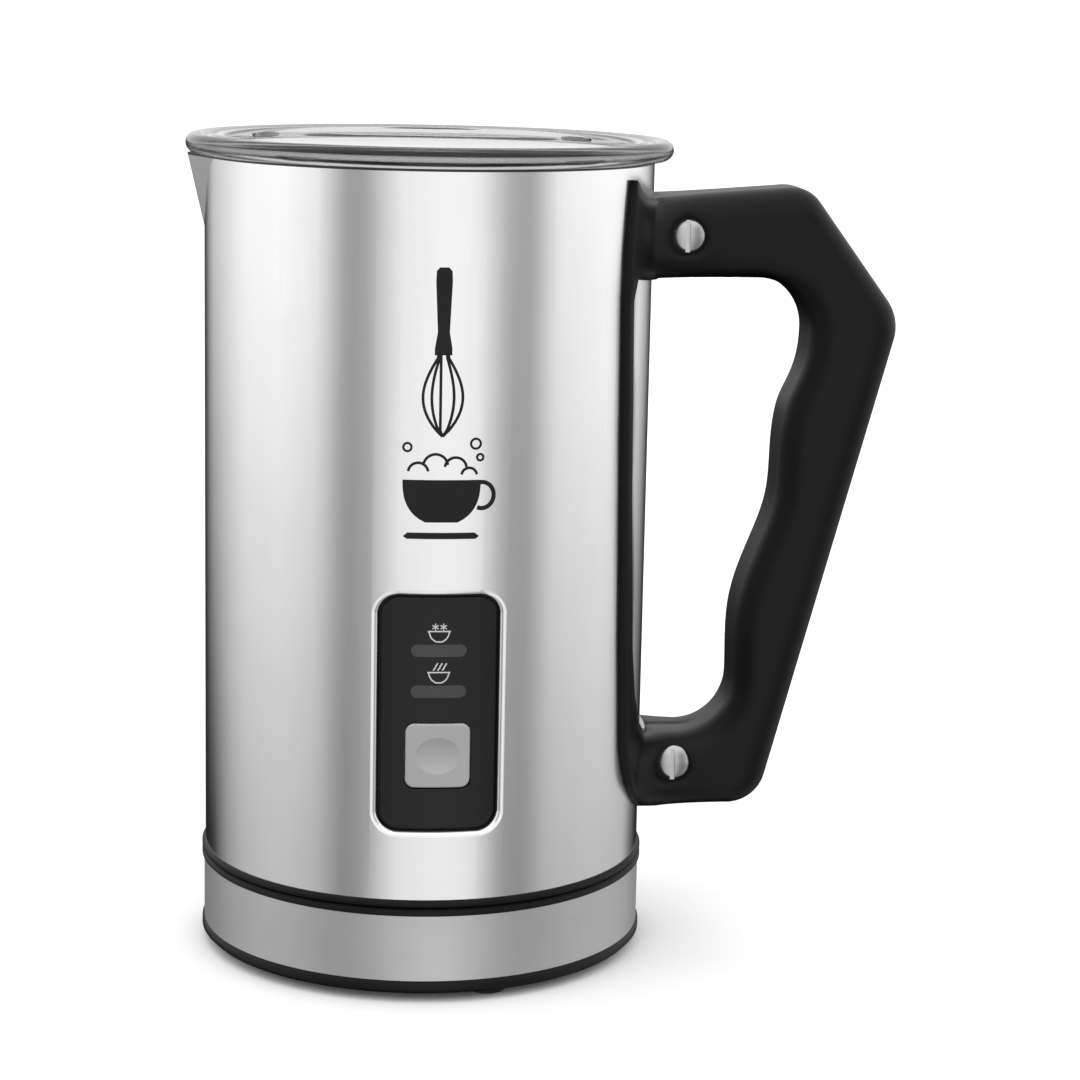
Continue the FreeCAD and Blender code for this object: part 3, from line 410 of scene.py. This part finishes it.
def stroke(bm, points, width, radius):
    """Flat printed line of the given width in millimetres."""
    points = refined(points, PRINT_STEP)
    left, right = [], []
    for i, (x, y) in enumerate(points):
        x0, y0 = points[max(i - 1, 0)]
        x1, y1 = points[min(i + 1, len(points) - 1)]
        length = math.hypot(x1 - x0, y1 - y0)
        nx, ny = -(y1 - y0) / length, (x1 - x0) / length
        left.append((x + nx * width / 2, y + ny * width / 2))
        right.append((x - nx * width / 2, y - ny * width / 2))
    a = [bm.verts.new(p) for p in wrap(left, radius)]
    b = [bm.verts.new(p) for p in wrap(right, radius)]
    for i in range(len(a) - 1):
        bm.faces.new((a[i], a[i + 1], b[i + 1], b[i]))


def patch(bm, rows, radius):
    """Filled printed shape from rows of (up, left, right) in millimetres."""
    last = None
    count = 8
    for up, left, right in rows:
        line = [(left + (right - left) * i / count, up) for i in range(count + 1)]
        verts = [bm.verts.new(p) for p in wrap(line, radius)]
        if last:
            for i in range(count):
                bm.faces.new((last[i], last[i + 1], verts[i + 1], verts[i]))
        last = verts


def curve(cx, cy, rx, ry, start, end, steps):
    """Points in degrees along an arc of an ellipse."""
    points = []
    for i in range(steps + 1):
        a = math.radians(start + (end - start) * i / steps)
        points.append((cx + rx * math.cos(a), cy + ry * math.sin(a)))
    return points


def add_print(name, bm, material, body):
    """Flat printed faces, all turned away from the jug's axis."""
    for face in bm.faces:
        centre = face.calc_center_median()
        face.normal_update()
        if face.normal.dot(Vector((centre.x, centre.y, 0.0))) < 0:
            face.normal_flip()
    link_piece(name, bm, material, body)


def make_emblem():
    """Generic mark on the front: a balloon whisk over a cup of foam."""
    bm = bmesh.new()
    r = JUG_R
    wires_top = 147.2
    patch(bm, [(166.0, -1.0, 1.0), (165.2, -1.7, 1.7), (163.0, -1.8, 1.8), (152.0, -1.3, 1.3),
               (148.5, -1.9, 1.9), (147.0, -1.9, 1.9)], r)
    for half, sign in ((0.0, -1), (2.9, -1), (2.9, 1), (5.8, -1), (5.8, 1)):
        wire = [(sign * (0.5 + 0.1 * half), wires_top)]
        for i in range(1, 20):
            t = i / 20
            bulge = math.sin(math.pi * t ** 0.8) ** 0.9
            wire.append((sign * (0.5 + half * bulge * (0.35 + 0.65 * t)), wires_top - 17.5 * t))
        wire.append((0.0, wires_top - 18.0))
        stroke(bm, wire, 0.62, r)
    for cx, cy, size in ((-5.2, 121.2, 2.2), (-1.4, 122.6, 2.7), (3.0, 122.2, 2.4),
                         (6.0, 120.6, 1.7)):
        stroke(bm, curve(cx, cy, size, size, 8, 172, 20), 0.6, r)
    for cx, cy, size in ((-7.6, 126.8, 0.9), (7.4, 127.6, 1.1), (8.4, 124.6, 0.7)):
        stroke(bm, curve(cx, cy, size, size, 0, 360, 20), 0.5, r)
    rows = []
    for i in range(13):
        t = i / 12
        half = 8.6 * math.sqrt(max(1.0 - (0.93 * t) ** 2.6, 0.0))
        rows.append((119.6 - 9.4 * t, -half, half))
    patch(bm, rows, r)
    stroke(bm, curve(8.9, 116.2, 2.7, 2.9, -112, 100, 24), 0.95, r)
    patch(bm, [(107.9, -7.4, 7.4), (107.1, -8.4, 8.4), (106.5, -7.6, 7.6)], r)
    add_print("front_emblem", bm, "printed_ink", "jug")


def snowflake(bm, cx, cy, size, radius):
    """Three crossed lines."""
    for i in range(3):
        a = math.radians(90 + 60 * i)
        dx, dy = math.cos(a) * size, math.sin(a) * size
        stroke(bm, [(cx - dx, cy - dy), (cx + dx, cy + dy)], 0.24, radius)


def cup_icon(bm, top, width, depth, radius):
    """Small bowl drawn as a line."""
    half = width / 2
    side = curve(0.0, top, half * 0.9, depth, 186, 248, 12)
    other = curve(0.0, top, half * 0.9, depth, 292, 354, 12)
    foot = top - depth * 0.98
    outline = [(-half, top), *side, (-half * 0.30, foot), (half * 0.30, foot), *other,
               (half, top)]
    stroke(bm, outline, 0.30, radius)
    stroke(bm, [(-half - 0.1, top), (half + 0.1, top)], 0.30, radius)


def make_panel_marks():
    """Line icons beside the two light bars: cold foam above, hot foam below."""
    bm = bmesh.new()
    r = FASCIA_R
    cold, hot = PANEL_LOW / MM + 45.7, PANEL_LOW / MM + 36.4
    cup_icon(bm, cold, 4.9, 2.4, r)
    snowflake(bm, -0.85, cold + 1.0, 0.82, r)
    snowflake(bm, 0.95, cold + 1.0, 0.82, r)
    cup_icon(bm, hot, 4.9, 2.4, r)
    for across in (-0.75, 0.25, 1.25):
        stroke(bm, [(across - 0.5, hot + 0.45), (across - 0.1, hot + 1.0),
                    (across + 0.1, hot + 1.5), (across + 0.5, hot + 2.1)], 0.32, r)
    add_print("panel_icons", bm, "printed_white", "jug")


make_emblem()
make_panel_marks()


# ------------------------------------------------------------------ camera
def make_camera():
    """Eye-level product view from the front, slightly left of the panel and looking down."""
    distance, height = 0.6612, 0.2236
    yaw, pitch, roll = math.radians(3.76), math.radians(10.86), math.radians(1.18)
    heading = yaw + math.radians(2.358)
    cam = bpy.data.cameras.new("photo_camera")
    cam.sensor_width = 36.0
    cam.lens = 94.41
    cam.clip_start = 0.05
    cam.clip_end = 60.0
    obj = bpy.data.objects.new("photo_camera", cam)
    bpy.context.scene.collection.objects.link(obj)
    forward = Vector((math.sin(heading) * math.cos(pitch), math.cos(heading) * math.cos(pitch),
                      -math.sin(pitch)))
    right = Vector((math.cos(heading), -math.sin(heading), 0.0))
    up = right.cross(forward)
    x_axis = math.cos(roll) * right + math.sin(roll) * up
    y_axis = -math.sin(roll) * right + math.cos(roll) * up
    turn = Matrix((x_axis, y_axis, -forward)).transposed().to_4x4()
    place = Vector((-distance * math.sin(yaw), -distance * math.cos(yaw), height))
    obj.matrix_world = Matrix.Translation(place) @ turn
    bpy.context.scene.camera = obj


# ------------------------------------------------------------------ studio
def ramp_of(tree, stops):
    """Colour ramp from (degrees, level) stops over the full circle."""
    ramp = tree.nodes.new("ShaderNodeValToRGB")
    elements = ramp.color_ramp.elements
    elements[0].position = 0.0
    elements[1].position = 1.0
    while len(elements) < len(stops):
        elements.new(0.5)
    for element, (degrees, level) in zip(elements, stops):
        element.position = (degrees + 180) / 360
        element.color = (level, level, level, 1.0)
    return ramp


def mixed(tree, factor, a, b):
    """Single-value mix of two sockets or numbers."""
    node = tree.nodes.new("ShaderNodeMix")
    tree.links.new(factor, node.inputs["Factor"])
    for key, value in (("A", a), ("B", b)):
        if isinstance(value, float):
            node.inputs[key].default_value = value
        else:
            tree.links.new(value, node.inputs[key])
    return node.outputs["Result"]


def make_world():
    """White studio: light all round, with soft grey gaps between the panels of light.

    Only reflections see the gaps; the ground side of the studio is darker, and above
    the horizon it is bright all round the back.
    """
    scene = bpy.context.scene
    scene.view_settings.view_transform = "Standard"
    world = bpy.data.worlds.new("studio")
    scene.world = world
    world.use_nodes = True
    tree = world.node_tree
    links = tree.links
    tree.nodes.clear()
    out = tree.nodes.new("ShaderNodeOutputWorld")
    back = tree.nodes.new("ShaderNodeBackground")
    coord = tree.nodes.new("ShaderNodeTexCoord")
    split = tree.nodes.new("ShaderNodeSeparateXYZ")
    links.new(coord.outputs["Generated"], split.inputs["Vector"])
    flip = tree.nodes.new("ShaderNodeMath")
    flip.operation = "MULTIPLY"
    flip.inputs[1].default_value = -1.0
    links.new(split.outputs["Y"], flip.inputs[0])
    angle = tree.nodes.new("ShaderNodeMath")
    angle.operation = "ARCTAN2"
    links.new(split.outputs["X"], angle.inputs[0])
    links.new(flip.outputs[0], angle.inputs[1])
    turn = map_range(tree, angle.outputs[0], -math.pi, math.pi, 0.0, 1.0)
    high = ramp_of(tree, STUDIO_HIGH)
    low = ramp_of(tree, STUDIO_LOW)
    above = ramp_of(tree, STUDIO_ABOVE)
    links.new(turn, high.inputs["Fac"])
    links.new(turn, low.inputs["Fac"])
    links.new(turn, above.inputs["Fac"])
    drop = map_range(tree, split.outputs["Z"], -0.30, -0.08, 0.0, 1.0)
    level = mixed(tree, drop, low.outputs["Color"], high.outputs["Color"])
    lift = map_range(tree, split.outputs["Z"], 0.0, 0.03, 0.0, 1.0)
    level = mixed(tree, lift, level, above.outputs["Color"])
    crown = map_range(tree, split.outputs["Z"], 0.35, 0.60, 0.0, 1.0)
    level = mixed(tree, crown, level, STUDIO_CROWN)
    path = tree.nodes.new("ShaderNodeLightPath")
    soft = map_range(tree, split.outputs["Z"], -0.5, 0.8, 0.35, 1.55)
    unseen = mixed(tree, path.outputs["Is Diffuse Ray"], 1.05, soft)
    seen = mixed(tree, path.outputs["Is Glossy Ray"], unseen, level)
    links.new(seen, back.inputs["Color"])
    back.inputs["Strength"].default_value = 1.0
    links.new(back.outputs["Background"], out.inputs["Surface"])


STUDIO_CROWN = 1.15           # straight above
STUDIO_HIGH = [(-180, 0.0), (-162, 0.06), (-148, 0.56), (-126, 0.84), (-110, 1.08), (-84, 1.12),
               (-62, 0.98), (-46, 0.36), (-37, 0.36), (-17, 0.94), (5, 1.03), (20, 0.99),
               (37, 0.44), (49, 0.38), (65, 0.98), (100, 1.10), (130, 1.04), (146, 0.46),
               (157, 0.04), (180, 0.0)]
STUDIO_LOW = [(-180, 0.0), (-162, 0.0), (-146, 0.0), (-126, 0.30), (-110, 0.46), (-84, 0.52),
              (-62, 0.47), (-46, 0.24), (-37, 0.27), (-17, 0.84), (5, 0.90), (20, 0.88),
              (37, 0.34), (49, 0.26), (65, 0.46), (100, 0.52), (130, 0.46), (142, 0.10),
              (154, 0.0), (180, 0.0)]

STUDIO_ABOVE = [(-180, 1.08), (-140, 1.08), (-110, 1.08), (-84, 1.12), (-62, 0.98),
                (-46, 0.36), (-37, 0.36), (-17, 0.94), (5, 1.03), (20, 0.99), (37, 0.44),
                (49, 0.38), (65, 0.98), (100, 1.08), (140, 1.08), (180, 1.08)]


def make_floor():
    """White floor that shades only where the object blocks the light."""
    mesh = bpy.data.meshes.new("floor")
    half = 6.0
    mesh.from_pydata([(-half, -half, 0), (half, -half, 0), (half, half, 0), (-half, half, 0)],
                     [], [(0, 1, 2, 3)])
    floor = bpy.data.objects.new("floor", mesh)
    bpy.context.scene.collection.objects.link(floor)
    mat, tree, shader = new_material("floor_white")
    shade = noise(tree, 2.0, 2.0)
    tree.links.new(blended(tree, shade, grey(0.97), grey(0.985)), shader.inputs["Base Color"])
    shader.inputs["Roughness"].default_value = 0.9
    shader.inputs["Specular IOR Level"].default_value = 0.0
    mesh.materials.append(mat)
    floor.visible_glossy = False
    floor.visible_diffuse = False


make_camera()
make_world()
make_floor()
